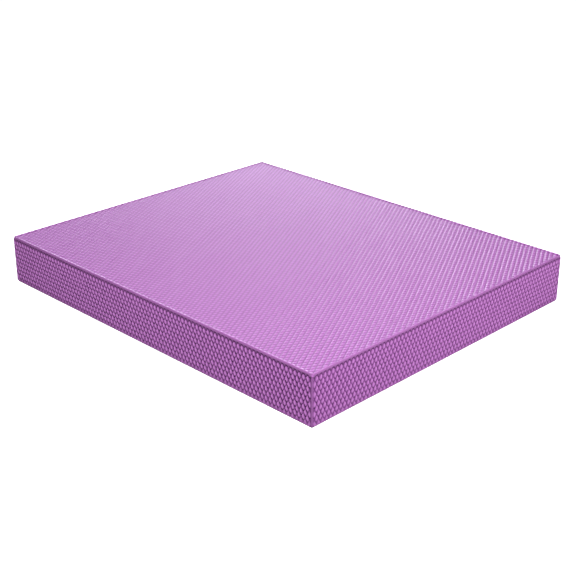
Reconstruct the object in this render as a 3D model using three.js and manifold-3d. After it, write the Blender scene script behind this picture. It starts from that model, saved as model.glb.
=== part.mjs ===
// A foam balance pad for physiotherapy: a laminated block of closed-cell foam plies, closed in on all
// six faces by an embossed foam skin. It lies flat, either way up, and has no moving pieces.
//
// Millimetres, +Z up. The origin is the centre of the underside. +X runs along the long side and
// +Y along the short side, so the front is the long side at -Y and the right is the short side at +X.

import * as THREE from "three";
import { mergeVertices } from "three/addons/utils/BufferGeometryUtils.js";
import Module from "manifold-3d";

// Driving dimensions
const LENGTH = 480; // along X
const WIDTH = 400; // along Y
const THICKNESS = 56; // along Z
const TOP_SKIN = 2.5; // thickness of the top skin
const BOTTOM_SKIN = 1.5; // thickness of the bottom skin
const SIDE_SKIN = 3; // thickness of the four side skins
const PLIES = 5; // foam sheets laminated into the core
const WELD = 0.3; // clearance kept at each heat-bonded face
const CORNER_RADIUS = 1.6; // upright corners, seen from above
const TOP_RIM = 0.8; // rounding of the top skin's rim
const BOTTOM_RIM = 0.7; // rounding of the bottom skin's rim
const ARC_STEPS = 6; // facets in each quarter round

// Worked out from the driving dimensions
const CORE_LENGTH = LENGTH - 2 * (SIDE_SKIN + WELD);
const CORE_WIDTH = WIDTH - 2 * (SIDE_SKIN + WELD);
const INSIDE_BOTTOM = BOTTOM_SKIN + WELD; // between the face skins
const INSIDE_TOP = THICKNESS - TOP_SKIN - WELD;
const PLY_PITCH = (INSIDE_TOP - INSIDE_BOTTOM + WELD) / PLIES; // one ply and one bonded face
const PLY = PLY_PITCH - WELD;

// Colour and finish of the two foams
const SKIN_FINISH = { color: 0xb268cb, roughness: 0.6, metalness: 0 };
const CORE_FINISH = { color: 0xc58ad8, roughness: 0.9, metalness: 0 };

const wasm = await Module();
wasm.setup();

// A three.js geometry as a solid that can be cut and joined.
function solidOf(geometry) {
  const bare = geometry.clone();
  bare.deleteAttribute("normal");
  bare.deleteAttribute("uv");
  const merged = mergeVertices(bare);
  return new wasm.Manifold(
    new wasm.Mesh({
      numProp: 3,
      vertProperties: new Float32Array(merged.attributes.position.array),
      triVerts: new Uint32Array(merged.index.array),
    }),
  );
}

// A solid as a three.js geometry.
function geometryOf(solid) {
  const { vertProperties, triVerts } = solid.getMesh();
  const geometry = new THREE.BufferGeometry();
  geometry.setAttribute("position", new THREE.BufferAttribute(vertProperties, 3));
  geometry.setIndex(new THREE.BufferAttribute(triVerts, 1));
  geometry.computeVertexNormals();
  return geometry;
}

// A rectangle with rounded corners, centred on the origin.
function roundedRectangle(length, width, radius) {
  const x = length / 2 - radius;
  const y = width / 2 - radius;
  const shape = new THREE.Shape();
  shape.absarc(x, -y, radius, -Math.PI / 2, 0);
  shape.absarc(x, y, radius, 0, Math.PI / 2);
  shape.absarc(-x, y, radius, Math.PI / 2, Math.PI);
  shape.absarc(-x, -y, radius, Math.PI, 1.5 * Math.PI);
  return shape;
}

// An upright block over the pad's whole plan, from z = low to z = high, with rounded rims.
function plate(low, high, rim) {
  const outline = roundedRectangle(LENGTH - 2 * rim, WIDTH - 2 * rim, CORNER_RADIUS - rim);
  const geometry = new THREE.ExtrudeGeometry(outline, {
    depth: high - low - 2 * rim,
    bevelThickness: rim,
    bevelSize: rim,
    bevelSegments: ARC_STEPS,
    curveSegments: ARC_STEPS,
  });
  geometry.translate(0, 0, low + rim);
  return solidOf(geometry);
}

// The part of a solid between two heights.
function slice(solid, low, high) {
  const slab = new THREE.BoxGeometry(2 * LENGTH, 2 * WIDTH, high - low);
  slab.translate(0, 0, (low + high) / 2);
  return geometryOf(solid.intersect(solidOf(slab)));
}

const topPlate = plate(0, THICKNESS, TOP_RIM);
const bottomPlate = plate(0, THICKNESS, BOTTOM_RIM);

// One side skin: an upright strip whose two ends are mitred at 45 degrees. It is laid out along X,
// its outer face at y = -distance, and then turned to its own side. The pad's outline rounds it off.
function sideSkin(sideLength, distance, turn) {
  const inner = distance - SIDE_SKIN;
  const outer = distance + SIDE_SKIN; // past the outline, which trims it
  const miter = sideLength / 2 - distance - WELD / Math.SQRT2; // from x = y + miter to x = -y - miter
  const outline = new THREE.Shape([
    new THREE.Vector2(-outer - miter, -outer),
    new THREE.Vector2(outer + miter, -outer),
    new THREE.Vector2(inner + miter, -inner),
    new THREE.Vector2(-inner - miter, -inner),
  ]);
  const strip = new THREE.ExtrudeGeometry(outline, { depth: THICKNESS, bevelEnabled: false });
  strip.rotateZ(turn);
  return slice(bottomPlate.intersect(solidOf(strip)), INSIDE_BOTTOM, INSIDE_TOP);
}

const pad = new THREE.Group();

function add(name, geometry, finish, height = 0) {
  const mesh = new THREE.Mesh(geometry, new THREE.MeshStandardMaterial(finish));
  mesh.name = name;
  mesh.position.z = height;
  pad.add(mesh);
}

add("top_skin", slice(topPlate, THICKNESS - TOP_SKIN, THICKNESS), SKIN_FINISH);
add("bottom_skin", slice(bottomPlate, 0, BOTTOM_SKIN), SKIN_FINISH);

add("front_side_skin", sideSkin(LENGTH, WIDTH / 2, 0), SKIN_FINISH);
add("right_side_skin", sideSkin(WIDTH, LENGTH / 2, Math.PI / 2), SKIN_FINISH);
add("back_side_skin", sideSkin(LENGTH, WIDTH / 2, Math.PI), SKIN_FINISH);
add("left_side_skin", sideSkin(WIDTH, LENGTH / 2, -Math.PI / 2), SKIN_FINISH);

// Core plies, numbered from the underside up
for (let i = 0; i < PLIES; i++) {
  const middle = INSIDE_BOTTOM + PLY / 2 + i * PLY_PITCH;
  add(`core_ply_${i + 1}`, new THREE.BoxGeometry(CORE_LENGTH, CORE_WIDTH, PLY), CORE_FINISH, middle);
}

export default pad;
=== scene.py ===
"""A foam balance pad: a laminated foam core with an embossed foam skin on all six faces.

Metres, +Z up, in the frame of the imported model: X runs along the long side and Y along the short side.
"""

import math

import bmesh
import bpy
import numpy as np
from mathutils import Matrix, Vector


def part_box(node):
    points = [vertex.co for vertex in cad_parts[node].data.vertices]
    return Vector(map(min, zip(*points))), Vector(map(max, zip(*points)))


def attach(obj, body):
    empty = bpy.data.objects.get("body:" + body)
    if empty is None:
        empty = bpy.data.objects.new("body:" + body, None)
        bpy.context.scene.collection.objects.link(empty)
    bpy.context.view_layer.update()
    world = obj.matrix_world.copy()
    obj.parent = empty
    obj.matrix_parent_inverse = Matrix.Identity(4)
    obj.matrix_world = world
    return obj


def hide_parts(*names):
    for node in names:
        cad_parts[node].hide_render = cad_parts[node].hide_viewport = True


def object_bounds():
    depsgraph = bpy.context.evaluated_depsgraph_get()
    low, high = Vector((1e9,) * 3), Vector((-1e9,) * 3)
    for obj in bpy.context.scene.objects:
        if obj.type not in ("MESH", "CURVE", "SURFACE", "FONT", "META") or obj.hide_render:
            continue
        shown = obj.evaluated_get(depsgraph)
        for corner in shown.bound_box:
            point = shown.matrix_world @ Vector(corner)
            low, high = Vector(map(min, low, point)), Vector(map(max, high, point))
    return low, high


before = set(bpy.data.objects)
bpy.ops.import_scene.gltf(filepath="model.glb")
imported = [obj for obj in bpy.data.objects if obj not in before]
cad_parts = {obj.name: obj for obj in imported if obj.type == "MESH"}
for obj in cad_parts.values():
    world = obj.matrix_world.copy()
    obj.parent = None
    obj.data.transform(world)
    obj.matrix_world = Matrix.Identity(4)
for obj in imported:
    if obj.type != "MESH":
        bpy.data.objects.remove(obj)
cad_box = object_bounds()

MM = 0.001

# The embossing: raised rhombic pillows between two crossing families of grooves
PITCH_SHORT = 5.43 * MM  # short diagonal of a rhombus
PITCH_LONG = 9.8 * MM  # long diagonal
SIDE_GROOVE_DEPTH = 1.8 * MM
TOP_GROOVE_DEPTH = 1.2 * MM
BASE_GROOVE_DEPTH = 1.1 * MM
FACE_VALLEYS = (1.5, 1.5)  # width of the two families of grooves: 0.5 is a narrow cut, 2 a wide valley
SIDE_VALLEYS = (0.4, 2.4)  # on the sides one family is wider than the other
# The embossing dies away over these distances at the ends, and at the upper and lower edges
FACE_FADE = (0.5 * MM, 0.5 * MM)
SIDE_FADE = (0.7 * MM, 1.8 * MM)
UNEVENNESS = 0.02  # slow variation of the embossing depth over a sheet
BROAD_WAVE = (41, 53)  # its waves along u and v, in radians a metre
SLANTED_WAVE = (97, -71)
SLANTED_SHARE = 0.6
COARSE_LEVELS = (0, 0.25, 0.75, 1)
FINE_LEVELS = (0, 0.125, 0.25, 0.5, 0.75, 0.875, 1)

# Edges of the sheets
RIM_RADIUS = 0.7 * MM  # rim of the top skin
BASE_RIM_RADIUS = 0.6 * MM  # rim of the bottom skin
CORNER_RADIUS = 1.5 * MM  # upright corners of the pad
SIDE_EDGE_RADIUS = 0.2 * MM  # upper and lower edges of the side skins
SEAM = 0.04 * MM  # clearance left in each welded seam
RECESS = 0.6 * MM  # the cut edges of the top and bottom skins lie this far behind the crowns on the sides
EDGE_DROP = 0.7 * MM  # the crowns on the sides are lowered by this much beside those cut edges
DROP_WIDTH = 3 * MM
# Painted shade on the plain rims: how far they are mixed towards the painted groove shade, as a depth of
# groove, with 0 a crown and 1 the bottom
FACE_RIM_TONE = 0.6  # rounded rims of the top and bottom skins
CUT_TONE = 0.0  # upright cut edges of the top and bottom skins
SIDE_RIM_TONE = 0.3
CORNER_TONE = 0.7  # upright corners
LIP = 0.1 * MM  # flat plain lip between the embossing and the rim
RIM_STEPS = 4
CORNER_STEPS = 8

# Core plies
PLY_CLEARANCE = 0.1 * MM
PLY_EDGE = 0.8 * MM
PLY_WAVE = 0.08 * MM
PLY_CELL = 12 * MM
PLY_WAVES = (61, 73)  # waves along X and Y, in radians a metre
PLY_SHIFTS = (900, 500)  # how much the waves differ from one height to another, in radians a metre
PLY_EDGE_STEPS = 4

SHARP_ANGLE = 38  # degrees; a skin is shaded with a crease where its faces turn by more

# Colours of the foam skin: the mottle of the crowns runs from dark to light, and the grooves are painted
# darker as painted shade
CROWN_DARK = (0.48, 0.175, 0.56, 1)
CROWN_LIGHT = (0.53, 0.205, 0.61, 1)
GROOVE_SHADE_COLOUR = (0.10, 0.015, 0.13, 1)
GROOVE_SHADE_SHARE = 0.75  # how much of the painted groove shade shows at the bottom of a groove

# Colours of the core foam
PORE_COLOUR = (0.38, 0.14, 0.48, 1)
WALL_COLOUR = (0.66, 0.36, 0.76, 1)

LOW, HIGH = cad_box
MIDDLE = (LOW + HIGH) / 2
LENGTH, WIDTH, THICKNESS = HIGH - LOW
TOP_SKIN = HIGH.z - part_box("top_skin")[0].z
BASE_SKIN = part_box("bottom_skin")[1].z - LOW.z
SIDE_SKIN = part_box("front_side_skin")[1].y - LOW.y


def show(name, mesh, material):
    """Adds an object with this mesh and material to the scene."""
    mesh.materials.append(material)
    shown = bpy.data.objects.new(name, mesh)
    bpy.context.scene.collection.objects.link(shown)
    return shown


# ------------------------------------------------------------ embossed sheets


def rhombus_template(levels):
    """One rhombus as points (s, t) along its two sides, and the faces between them.

    Squares on its two diagonals are cut along them, so that half a rhombus can be kept.
    """
    count = len(levels)
    points = [(s, t) for s in levels for t in levels]
    triangles, quads = [], []
    for i in range(count - 1):
        for j in range(count - 1):
            a = i * count + j
            b, c, d = a + count, a + count + 1, a + 1
            on_long, on_short = i == j, i + j == count - 2
            if on_long and on_short:
                points.append((0.5, 0.5))
                m = len(points) - 1
                triangles += [(a, b, m), (b, c, m), (c, d, m), (d, a, m)]
            elif on_long:
                triangles += [(a, b, c), (a, c, d)]
            elif on_short:
                triangles += [(a, b, d), (b, c, d)]
            else:
                quads.append((a, b, c, d))
    return np.array(points), [np.array(triangles), np.array(quads)]


def pillow(s, t, valleys):
    """Height of the embossing at (s, t) on a rhombus: 0 at the crown and -1 in the grooves."""
    across_s, across_t = (np.clip(np.sin(np.pi * x), 0, 1) ** width for x, width in zip((s, t), valleys))
    return across_s * across_t - 1


def smoothstep(x):
    x = np.clip(x, 0, 1)
    return x * x * (3 - 2 * x)


def embossed_field(left, right, low, high, levels, depth, valleys, fade):
    """The embossed middle of a sheet, in its own plane: points, their tones (the mask of the painted groove
    shade), faces and four border runs.

    The runs go anticlockwise round the field from its lower left corner, one along each side.
    """
    columns = round((right - left) / (PITCH_SHORT / 2))
    rows = round((high - low) / (PITCH_LONG / 2))
    template, shapes = rhombus_template(levels)
    s, t = template.T
    tips = np.array([(p, q) for q in range(-1, rows) for p in range(columns + 1) if (p + q) % 2 == 0])
    x = tips[:, :1] + s - t  # in half diagonals
    y = tips[:, 1:] + s + t
    height = np.broadcast_to(pillow(s, t, valleys), x.shape)

    key = np.round(x * 64).astype(np.int64) * 2**20 + np.round(y * 64).astype(np.int64)
    _, first, shared = np.unique(key, return_index=True, return_inverse=True)
    shared = shared.reshape(x.shape)
    x, y, height = x.ravel()[first], y.ravel()[first], height.ravel()[first]

    kept = []
    for corners in shapes:
        found = shared[:, corners].reshape(-1, corners.shape[1])
        middle_x, middle_y = x[found].mean(1), y[found].mean(1)
        inside = (middle_x > 0) & (middle_x < columns) & (middle_y > 0) & (middle_y < rows)
        kept.append(found[inside])
    used = np.unique(np.concatenate([found.ravel() for found in kept]))
    renumber = np.zeros(len(x), int)
    renumber[used] = np.arange(len(used))
    faces = [face for found in kept for face in renumber[found].tolist()]
    x, y, height = x[used], y[used], height[used]

    u = left + x * (right - left) / columns
    v = low + y * (high - low) / rows
    full = smoothstep(np.minimum(u - left, right - u) / fade[0])
    full *= smoothstep(np.minimum(v - low, high - v) / fade[1])
    slow = np.sin(u * BROAD_WAVE[0] + 1.3) * np.sin(v * BROAD_WAVE[1] + 0.4)
    slow += SLANTED_SHARE * np.sin(u * SLANTED_WAVE[0] + v * SLANTED_WAVE[1])
    # the depth in the groove, 0 at a crown and 1 at the bottom, is the mask of the painted groove shade
    tone = -height
    height = height * depth * full * (1 + UNEVENNESS * slow)

    runs = []
    for across, place, along in ((y, 0, x), (x, columns, y), (y, rows, -x), (x, 0, -y)):
        run = np.flatnonzero(np.abs(across - place) < 1e-6)
        runs.append(run[np.argsort(along[run])].tolist())
    return np.column_stack([u, v, height]), tone, faces, runs


def outline(left, right, low, high, radius, steps, arc_steps):
    """A rectangle with rounded corners as four runs of points, anticlockwise, one for each side.

    A run starts halfway round one corner and ends halfway round the next.
    """
    half = arc_steps // 2
    centres = [(left + radius, low + radius), (right - radius, low + radius),
               (right - radius, high - radius), (left + radius, high - radius)]
    runs = []
    for side in range(4):
        start, end = Vector(centres[side]), Vector(centres[(side + 1) % 4])
        facing = (side - 1) * math.pi / 2

        def spoke(angle):
            return Vector((math.cos(angle), math.sin(angle))) * radius

        run = [start + spoke(facing - math.pi / 4 * (1 - k / half)) for k in range(half)]
        count = steps[side % 2]
        run += [start.lerp(end, k / count) + spoke(facing) for k in range(count + 1)]
        run += [end + spoke(facing + math.pi / 4 * k / half) for k in range(1, half + 1)]
        runs.append(run)
    return runs


def add_ring(points, runs, depth_at):
    """Adds a closed ring of points, and returns it as four runs of indices that share their ends."""
    ring = []
    first = len(points)
    for run in runs:
        start = len(points)
        points.extend((u, v, -depth_at(u, v)) for u, v in run[:-1])
        ring.append(list(range(start, len(points))))
    for side in range(4):
        ring[side].append(ring[side + 1][0] if side < 3 else first)
    return ring


def zip_runs(inner, outer, points, axis):
    """Triangles between two runs that needn't have the same number of points."""
    def shares(run):
        place = np.array([points[i][axis] for i in run])
        return np.abs(place - place[0]) / abs(place[-1] - place[0])

    inner_share, outer_share = shares(inner), shares(outer)
    faces = []
    i = j = 0
    while i < len(inner) - 1 or j < len(outer) - 1:
        inner_done, outer_done = i == len(inner) - 1, j == len(outer) - 1
        if outer_done or not inner_done and inner_share[i + 1] <= outer_share[j + 1]:
            faces.append([inner[i], outer[j], inner[i + 1]])
            i += 1
        else:
            faces.append([inner[i], outer[j], outer[j + 1]])
            j += 1
    return faces


def close_sheet(field, rings, steps, arc_steps, rim_tone):
    """Makes a solid sheet of an embossed field: its rim, ring by ring, and a flat inner face.

    A ring is (left, right, low, high, corner radius, depth), and depth is a function of (u, v).
    The tone of the rim, its share of painted shade, is a function of (u, depth).
    """
    field_points, tone, faces, border = field
    points = [tuple(p) for p in field_points]
    ring = None
    for *limits, depth_at in rings:
        new = add_ring(points, outline(*limits, steps, arc_steps), depth_at)
        for side in range(4):
            if ring is None:
                faces += zip_runs(border[side], new[side], points, side % 2)
            else:
                old_run, new_run = ring[side], new[side]
                faces += [list(f) for f in zip(old_run, new_run, new_run[1:], old_run[1:])]
        ring = new
    faces.append([i for run in ring for i in run[:-1]][::-1])
    rim = [rim_tone(u, -height) for u, _, height in points[len(field_points):]]
    return np.array(points), faces, np.concatenate([tone, rim])


def make_sheet(name, solid, centre, u_axis, v_axis, material):
    """Puts a solid sheet in place, with u and v along the given axes and its outer face outwards."""
    points, faces, groove = solid
    u_axis, v_axis = Vector(u_axis), Vector(v_axis)
    axes = np.array([u_axis, v_axis, u_axis.cross(v_axis)])
    mesh = bpy.data.meshes.new(name)
    mesh.from_pydata((points @ axes + np.array(centre)).tolist(), [], faces)
    mesh.polygons.foreach_set("use_smooth", [True] * len(mesh.polygons))
    mesh.set_sharp_from_angle(angle=math.radians(SHARP_ANGLE))
    # the groove attribute is the mask of the painted shade: darker and less shiny in the grooves and on the
    # plain rims
    mesh.attributes.new("groove", "FLOAT", "POINT").data.foreach_set("value", groove.astype(np.float32))
    return show(name, mesh, material)


def face_skin(name, centre, v_axis, thickness, rim, groove_depth, material):
    """The top or bottom skin: embossed out to a plain lip, with a rounded rim."""
    half_u, half_v = LENGTH / 2 - RECESS, WIDTH / 2 - RECESS
    margin = LIP + rim
    field = embossed_field(margin - half_u, half_u - margin, margin - half_v, half_v - margin, COARSE_LEVELS,
                           groove_depth, FACE_VALLEYS, FACE_FADE)

    def ring(inset, radius, depth):
        return (inset - half_u, half_u - inset, inset - half_v, half_v - inset, radius, lambda u, v: depth)

    rings = []
    for k in range(RIM_STEPS + 1):
        angle = k * math.pi / 2 / RIM_STEPS
        radius = CORNER_RADIUS - rim * (1 - math.sin(angle))
        rings.append(ring(rim * (1 - math.sin(angle)), radius, rim * (1 - math.cos(angle))))
    if thickness - rim > SEAM:
        rings.append(ring(0, CORNER_RADIUS, thickness))
    steps = (round(2 * half_u / (PITCH_SHORT / 4)), round(2 * half_v / (PITCH_LONG / 4)))

    # painted shade on the rounded rim; the upright cut edge keeps the crown colour
    def rim_tone(u, depth):
        return FACE_RIM_TONE if depth < rim / 2 else CUT_TONE

    solid = close_sheet(field, rings, steps, CORNER_STEPS, rim_tone)
    return make_sheet(name, solid, centre, (1, 0, 0), v_axis, material)


def side_skin(name, length, centre, u_axis, valleys, material):
    """One upright side skin, mitred at both ends, with half of each rounded corner."""
    half_u = length / 2
    half_v = (THICKNESS - TOP_SKIN - BASE_SKIN) / 2 - SEAM
    reach = CORNER_RADIUS * math.sin(math.pi / 4)
    margin_u = CORNER_RADIUS + LIP
    margin_v = SIDE_EDGE_RADIUS + LIP
    points, tone, faces, runs = embossed_field(margin_u - half_u, half_u - margin_u, margin_v - half_v,
                                               half_v - margin_v, FINE_LEVELS, SIDE_GROOVE_DEPTH,
                                               valleys, SIDE_FADE)

    def drop(u, v):
        """How far the crowns are lowered beside the upper and lower edges, but not at the corners."""
        near_edge = smoothstep((np.abs(v) - half_v + DROP_WIDTH) / (DROP_WIDTH - SIDE_EDGE_RADIUS - LIP))
        return EDGE_DROP * near_edge * smoothstep((half_u - CORNER_RADIUS - np.abs(u)) / DROP_WIDTH)

    lowered = drop(points[:, 0], points[:, 1])
    points[:, 2] = points[:, 2] * (1 - lowered / SIDE_GROOVE_DEPTH) - lowered

    def depth_at(u, v):
        """Depth of the rounded corner or of the rounded edge, whichever is more, below the outer face."""
        bend = min(max(abs(u) - (half_u - CORNER_RADIUS), 0), reach)
        turn = min(max(abs(v) - (half_v - SIDE_EDGE_RADIUS), 0), SIDE_EDGE_RADIUS)
        return max(CORNER_RADIUS - math.sqrt(CORNER_RADIUS**2 - bend**2),
                   SIDE_EDGE_RADIUS - math.sqrt(SIDE_EDGE_RADIUS**2 - turn**2) + float(drop(u, v)))

    def ring(inset_u, inset_v, depth):
        return (inset_u - half_u, half_u - inset_u, inset_v - half_v, half_v - inset_v, 0, depth)

    rings = []
    for k in range(RIM_STEPS + 1):
        angle = k * math.pi / 2 / RIM_STEPS
        inset_u = CORNER_RADIUS * (1 - math.sin(angle / 2))
        inset_v = SIDE_EDGE_RADIUS * (1 - math.sin(angle))
        rings.append(ring(inset_u, inset_v, depth_at))
    for depth in (SIDE_SKIN / 2, SIDE_SKIN):
        rings.append(ring(depth + SEAM / 2, 0, lambda u, v, depth=depth: depth))
    steps = (round(2 * half_u / (PITCH_SHORT / 4)), round(2 * half_v / (PITCH_LONG / 8)))

    # painted shade on the plain rims, darker on the upright corners
    def rim_tone(u, depth):
        return CORNER_TONE if abs(u) > half_u - margin_u else SIDE_RIM_TONE

    solid = close_sheet((points, tone, faces, runs), rings, steps, 0, rim_tone)
    return make_sheet(name, solid, centre, u_axis, (0, 0, 1), material)


# ------------------------------------------------------------ core plies


def core_ply(name, material):
    """A plain foam sheet with softened edges and faintly wavy cut faces."""
    low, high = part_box(name)
    low, high = low + Vector((PLY_CLEARANCE,) * 3), high - Vector((PLY_CLEARANCE,) * 3)
    size, middle = high - low, (low + high) / 2
    shape = bmesh.new()
    columns, rows = round(size.x / PLY_CELL), round(size.y / PLY_CELL)
    bmesh.ops.create_grid(shape, x_segments=columns, y_segments=rows, size=0.5)
    for vertex in shape.verts:
        vertex.co = Vector((vertex.co.x * size.x, vertex.co.y * size.y, -size.z / 2))
    grown = bmesh.ops.extrude_face_region(shape, geom=shape.faces[:])
    top = [item for item in grown["geom"] if isinstance(item, bmesh.types.BMVert)]
    bmesh.ops.translate(shape, verts=top, vec=(0, 0, size.z))
    bmesh.ops.recalc_face_normals(shape, faces=shape.faces)
    rim = [e for e in shape.edges if e.is_manifold and e.calc_face_angle(0) > 1]
    bmesh.ops.bevel(shape, geom=rim, offset=PLY_EDGE, segments=PLY_EDGE_STEPS, affect="EDGES", profile=0.5)
    for vertex in shape.verts:
        x, y, z = vertex.co
        if size.z / 2 - abs(z) < 1e-6:
            wave = math.sin(x * PLY_WAVES[0] + z * PLY_SHIFTS[0])
            wave *= math.sin(y * PLY_WAVES[1] + z * PLY_SHIFTS[1])
            vertex.co.z -= math.copysign(PLY_WAVE * (1 + wave) / 2, z)
    bmesh.ops.translate(shape, verts=shape.verts, vec=middle)
    mesh = bpy.data.meshes.new(name + "_foam")
    shape.to_mesh(mesh)
    shape.free()
    mesh.polygons.foreach_set("use_smooth", [True] * len(mesh.polygons))
    return show(name + "_foam", mesh, material)


# ------------------------------------------------------------ materials


class Nodes:
    """A short way to write a material's node tree."""

    def __init__(self, name):
        self.material = bpy.data.materials.new(name)
        self.material.use_nodes = True
        self.tree = self.material.node_tree
        self.shader = self.tree.nodes["Principled BSDF"]
        self.place = self.add("ShaderNodeTexCoord").outputs["Object"]

    def add(self, kind, inputs=(), **settings):
        node = self.tree.nodes.new(kind)
        for key, value in settings.items():
            setattr(node, key, value)
        for key, value in dict(inputs).items():
            self.feed(node.inputs[key], value)
        return node

    def feed(self, socket, value):
        if isinstance(value, bpy.types.NodeSocket):
            self.tree.links.new(value, socket)
        else:
            socket.default_value = value

    def noise(self, scale, detail=2):
        node = self.add("ShaderNodeTexNoise", {"Vector": self.place, "Scale": scale, "Detail": detail})
        return node.outputs["Fac"]

    def remap(self, value, low, high):
        node = self.add("ShaderNodeMapRange", {"Value": value, "To Min": low, "To Max": high})
        return node.outputs["Result"]

    def mix(self, share, first, second):
        node = self.add("ShaderNodeMix", data_type="RGBA")
        self.feed(node.inputs[0], share)
        self.feed(node.inputs[6], first)
        self.feed(node.inputs[7], second)
        return node.outputs[2]

    def math(self, operation, first, second):
        node = self.add("ShaderNodeMath", {0: first, 1: second}, operation=operation)
        return node.outputs[0]

    def bump(self, height, distance, strength, normal=None):
        inputs = {"Height": height, "Distance": distance, "Strength": strength}
        if normal is not None:
            inputs["Normal"] = normal
        return self.add("ShaderNodeBump", inputs).outputs["Normal"]


def skin_material():
    """Purple closed-cell foam skin, faintly mottled, with fine pores; painted shade makes it darker and less
    shiny in the grooves and on the plain rims.
    """
    nodes = Nodes("embossed_foam_skin")
    groove = nodes.add("ShaderNodeAttribute", attribute_name="groove").outputs["Fac"]
    # painted shade: the groove mask darkens the colour towards the groove shade and dims the specular in the
    # grooves
    painted_shade = nodes.math("POWER", groove, 2.0)
    mottle = nodes.remap(nodes.noise(scale=35, detail=3), low=0.35, high=0.65)
    crown = nodes.mix(mottle, CROWN_DARK, CROWN_LIGHT)
    colour = nodes.mix(nodes.math("MULTIPLY", painted_shade, GROOVE_SHADE_SHARE), crown, GROOVE_SHADE_COLOUR)
    nodes.feed(nodes.shader.inputs["Base Color"], colour)
    nodes.feed(nodes.shader.inputs["Roughness"], nodes.remap(nodes.noise(scale=600), low=0.44, high=0.58))
    nodes.feed(nodes.shader.inputs["Specular IOR Level"], nodes.remap(painted_shade, low=0.6, high=0.1))
    pores = nodes.bump(nodes.noise(scale=2600, detail=3), distance=0.12 * MM, strength=0.35)
    grain = nodes.bump(nodes.noise(scale=420), distance=0.3 * MM, strength=0.2, normal=pores)
    nodes.feed(nodes.shader.inputs["Normal"], grain)
    return nodes.material


def core_material():
    """Lilac closed-cell foam, with open pores on its cut faces."""
    nodes = Nodes("core_foam")
    cells = nodes.add("ShaderNodeTexVoronoi", {"Vector": nodes.place, "Scale": 1100}).outputs["Distance"]
    share = nodes.remap(cells, low=0, high=1)
    nodes.feed(nodes.shader.inputs["Base Color"], nodes.mix(share, PORE_COLOUR, WALL_COLOUR))
    nodes.feed(nodes.shader.inputs["Roughness"], nodes.remap(nodes.noise(scale=500), low=0.8, high=0.95))
    nodes.feed(nodes.shader.inputs["Normal"], nodes.bump(cells, distance=0.4 * MM, strength=0.6))
    return nodes.material


def floor_material():
    """A white studio sweep that glows evenly."""
    nodes = Nodes("white_sweep")
    tone = nodes.mix(nodes.noise(scale=6), (0.86, 0.86, 0.87, 1), (0.89, 0.89, 0.89, 1))
    nodes.feed(nodes.shader.inputs["Base Color"], tone)
    nodes.shader.inputs["Roughness"].default_value = 0.8
    nodes.shader.inputs["Emission Color"].default_value = (1, 1, 1, 1)
    nodes.shader.inputs["Emission Strength"].default_value = FLOOR_GLOW
    return nodes.material


# ------------------------------------------------------------ camera, floor and light

CAMERA_AT = Vector((0.8818, -0.8744, 0.5517))
CAMERA_AIM = Vector((0.0449, -0.0353, 0.028))
LENS = 73.66  # millimetres, on a 36 mm wide sensor
FLOOR_HALF = 8.0  # half the floor's width, in metres
SWEEP_HEIGHT = 4.0  # the far ends of the floor turn up by this much
FLOOR_GAP = 0.0003  # the floor lies this far under the pad
FLOOR_GLOW = 0.95
AMBIENT = 0.05  # strength of the light from all round

# Softboxes: azimuth and elevation in degrees, distance and size in metres, power in watts, colour
SOFTBOXES = {
    "corner_key": (320, 45, 1.5, 0.3, 22.5, (1, 0.97, 0.92)),
    "back_light": (133, 17, 1.5, 1.2, 44, (0.93, 0.9, 1)),
    "right_fill": (5, 20, 0.8, 0.3, 1.4, (1, 0.97, 0.93)),
    "left_fill": (272, 20, 0.75, 0.3, 0.7, (1, 0.97, 0.93)),
}


def aim(obj, target):
    """Turns a camera or a lamp to look at a point."""
    obj.rotation_euler = (Vector(target) - obj.location).to_track_quat("-Z", "Y").to_euler()


def make_camera():
    camera = bpy.data.objects.new("camera", bpy.data.cameras.new("camera"))
    bpy.context.scene.collection.objects.link(camera)
    camera.location = CAMERA_AT
    camera.data.lens = LENS
    aim(camera, CAMERA_AIM)
    bpy.context.scene.camera = camera


def softbox(name, azimuth, elevation, distance, size, power, colour):
    """A square lamp that faces the middle of the pad."""
    light = bpy.data.lights.new(name, "AREA")
    light.size = size
    light.energy = power
    light.color = colour
    lamp = bpy.data.objects.new(name, light)
    azimuth, elevation = math.radians(azimuth), math.radians(elevation)
    level = math.cos(elevation)
    out = Vector((level * math.cos(azimuth), level * math.sin(azimuth), math.sin(elevation)))
    lamp.location = MIDDLE + out * distance
    bpy.context.scene.collection.objects.link(lamp)
    aim(lamp, MIDDLE)


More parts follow.
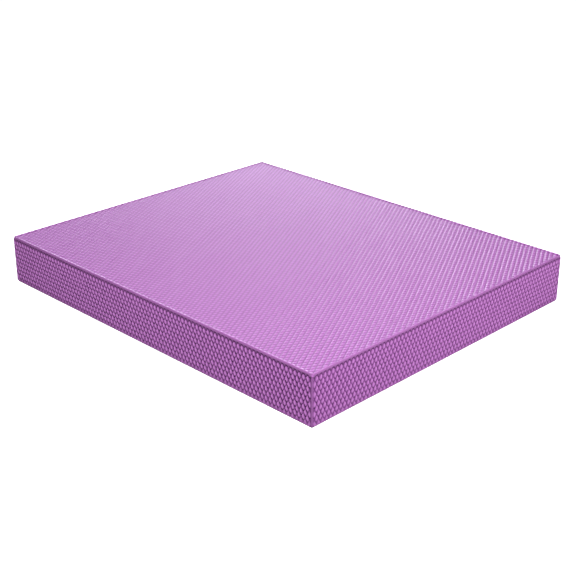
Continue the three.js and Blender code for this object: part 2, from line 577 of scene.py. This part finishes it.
def make_floor():
    """A floor whose far ends turn up. It shows white, but neither lights the pad nor is reflected in it."""
    shape = bmesh.new()
    bmesh.ops.create_grid(shape, x_segments=1, y_segments=1, size=FLOOR_HALF)
    grown = bmesh.ops.extrude_edge_only(shape, edges=[e for e in shape.edges if e.is_boundary])
    ends = [item for item in grown["geom"] if isinstance(item, bmesh.types.BMVert)]
    bmesh.ops.translate(shape, verts=ends, vec=(0, 0, SWEEP_HEIGHT))
    mesh = bpy.data.meshes.new("floor")
    shape.to_mesh(mesh)
    shape.free()
    floor = show("floor", mesh, floor_material())
    floor.location.z = LOW.z - FLOOR_GAP
    floor.visible_diffuse = False
    floor.visible_glossy = False


def make_light():
    world = bpy.data.worlds.new("studio")
    world.use_nodes = True
    background = world.node_tree.nodes["Background"]
    background.inputs["Color"].default_value = (1, 1, 1, 1)
    background.inputs["Strength"].default_value = AMBIENT
    bpy.context.scene.world = world
    bpy.context.scene.view_settings.view_transform = "Standard"

    for name, setting in SOFTBOXES.items():
        softbox(name, *setting)


# ------------------------------------------------------------ the pad


def declare(piece, node):
    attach(piece, "root")
    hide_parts(node)


make_camera()
make_floor()
make_light()

skin = skin_material()
core = core_material()

top = face_skin("top_skin_embossed", (MIDDLE.x, MIDDLE.y, HIGH.z), (0, 1, 0), TOP_SKIN, RIM_RADIUS,
                TOP_GROOVE_DEPTH, skin)
declare(top, "top_skin")
base = face_skin("bottom_skin_embossed", (MIDDLE.x, MIDDLE.y, LOW.z), (0, -1, 0), BASE_SKIN,
                 BASE_RIM_RADIUS, BASE_GROOVE_DEPTH, skin)
declare(base, "bottom_skin")

side_height = (LOW.z + BASE_SKIN + HIGH.z - TOP_SKIN) / 2
for side, out in (("front", (0, -1)), ("right", (1, 0)), ("back", (0, 1)), ("left", (-1, 0))):
    length = LENGTH if out[0] == 0 else WIDTH
    centre = (MIDDLE.x + out[0] * LENGTH / 2, MIDDLE.y + out[1] * WIDTH / 2, side_height)
    valleys = SIDE_VALLEYS if side in ("right", "back") else SIDE_VALLEYS[::-1]
    piece = side_skin(side + "_side_embossed", length, centre, (-out[1], out[0], 0), valleys, skin)
    declare(piece, side + "_side_skin")

for node in sorted(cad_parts):
    if node.startswith("core_ply_"):
        declare(core_ply(node, core), node)
